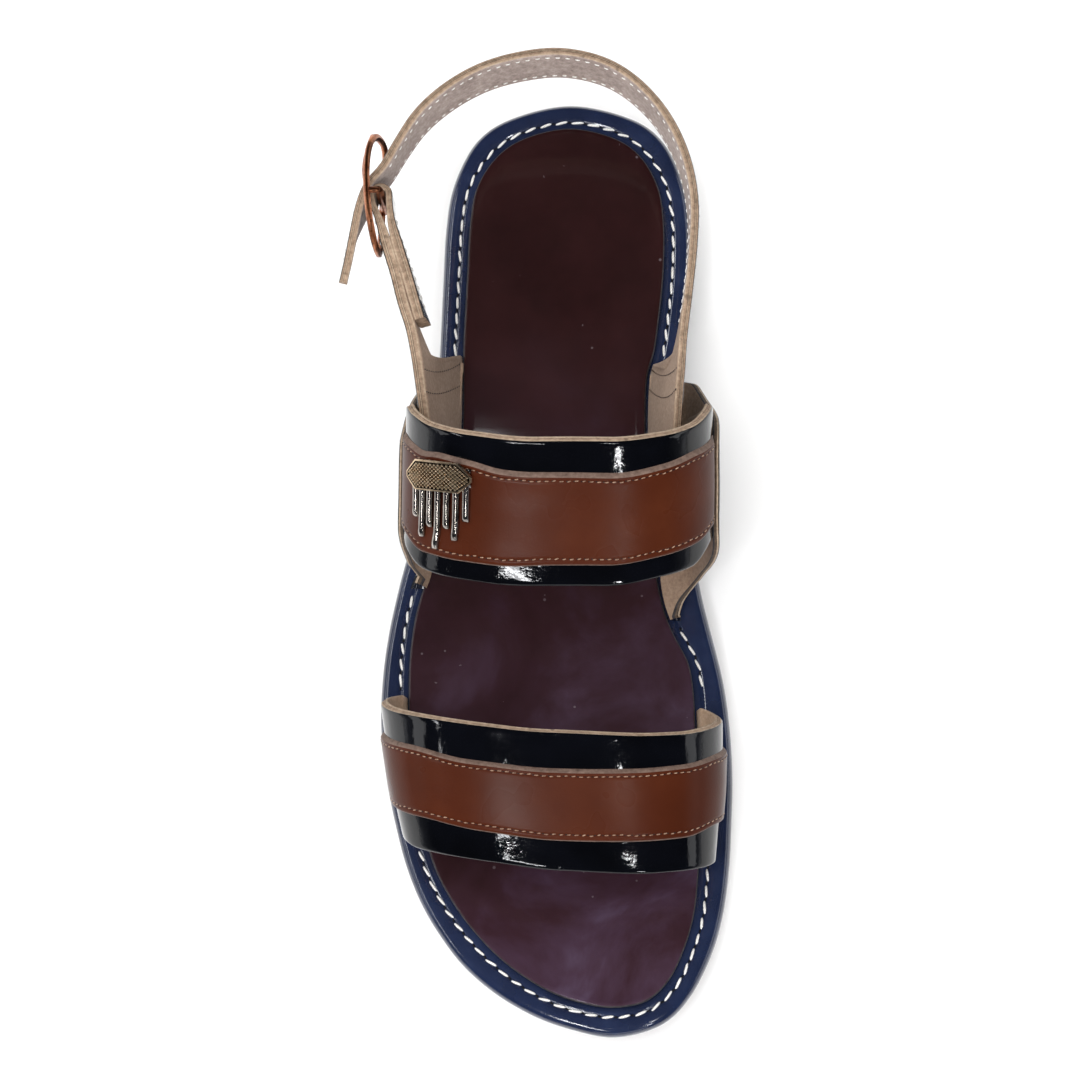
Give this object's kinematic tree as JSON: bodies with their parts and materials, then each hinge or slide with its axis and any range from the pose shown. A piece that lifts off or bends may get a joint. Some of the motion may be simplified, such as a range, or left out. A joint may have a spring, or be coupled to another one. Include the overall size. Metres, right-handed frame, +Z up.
{
  "type": "strap sandal",
  "caption": "Right-foot strap sandal with a wide front band, an instep band between side wings, a buckled heel strap, a stitched rim and a low heel.",
  "frame": {"origin": "middle of the bounding box in plan, at the level of the ground it stands on", "axes": "+X to the medial (big-toe) side, +Y to the heel, +Z up"},
  "size_m": [0.1176, 0.2904, 0.0931],
  "materials": {
    "heel": "satin black-brown",
    "outsole": "matt dark brown",
    "painted_rim": "glossy navy paint",
    "footbed": "glossy oxblood, slightly clouded",
    "patent": "high-gloss black patent",
    "brown_strip": "gloss brown",
    "copper_metal": "satin copper-coloured plating",
    "gunmetal": "dark polished",
    "pale_gold": "knurled pale gold"
  },
  "bodies": {
    "root": {"heel_block": "heel", "outsole": "outsole", "midsole": "painted_rim", "insole": "footbed", "front_band": "patent", "front_overlay": "brown_strip", "upper": "patent", "instep_overlay": "brown_strip", "buckle": "copper_metal", "buckle_prong": "copper_metal", "ornament_bars": "gunmetal", "ornament_plate": "pale_gold"}
  },
  "joints": []
}
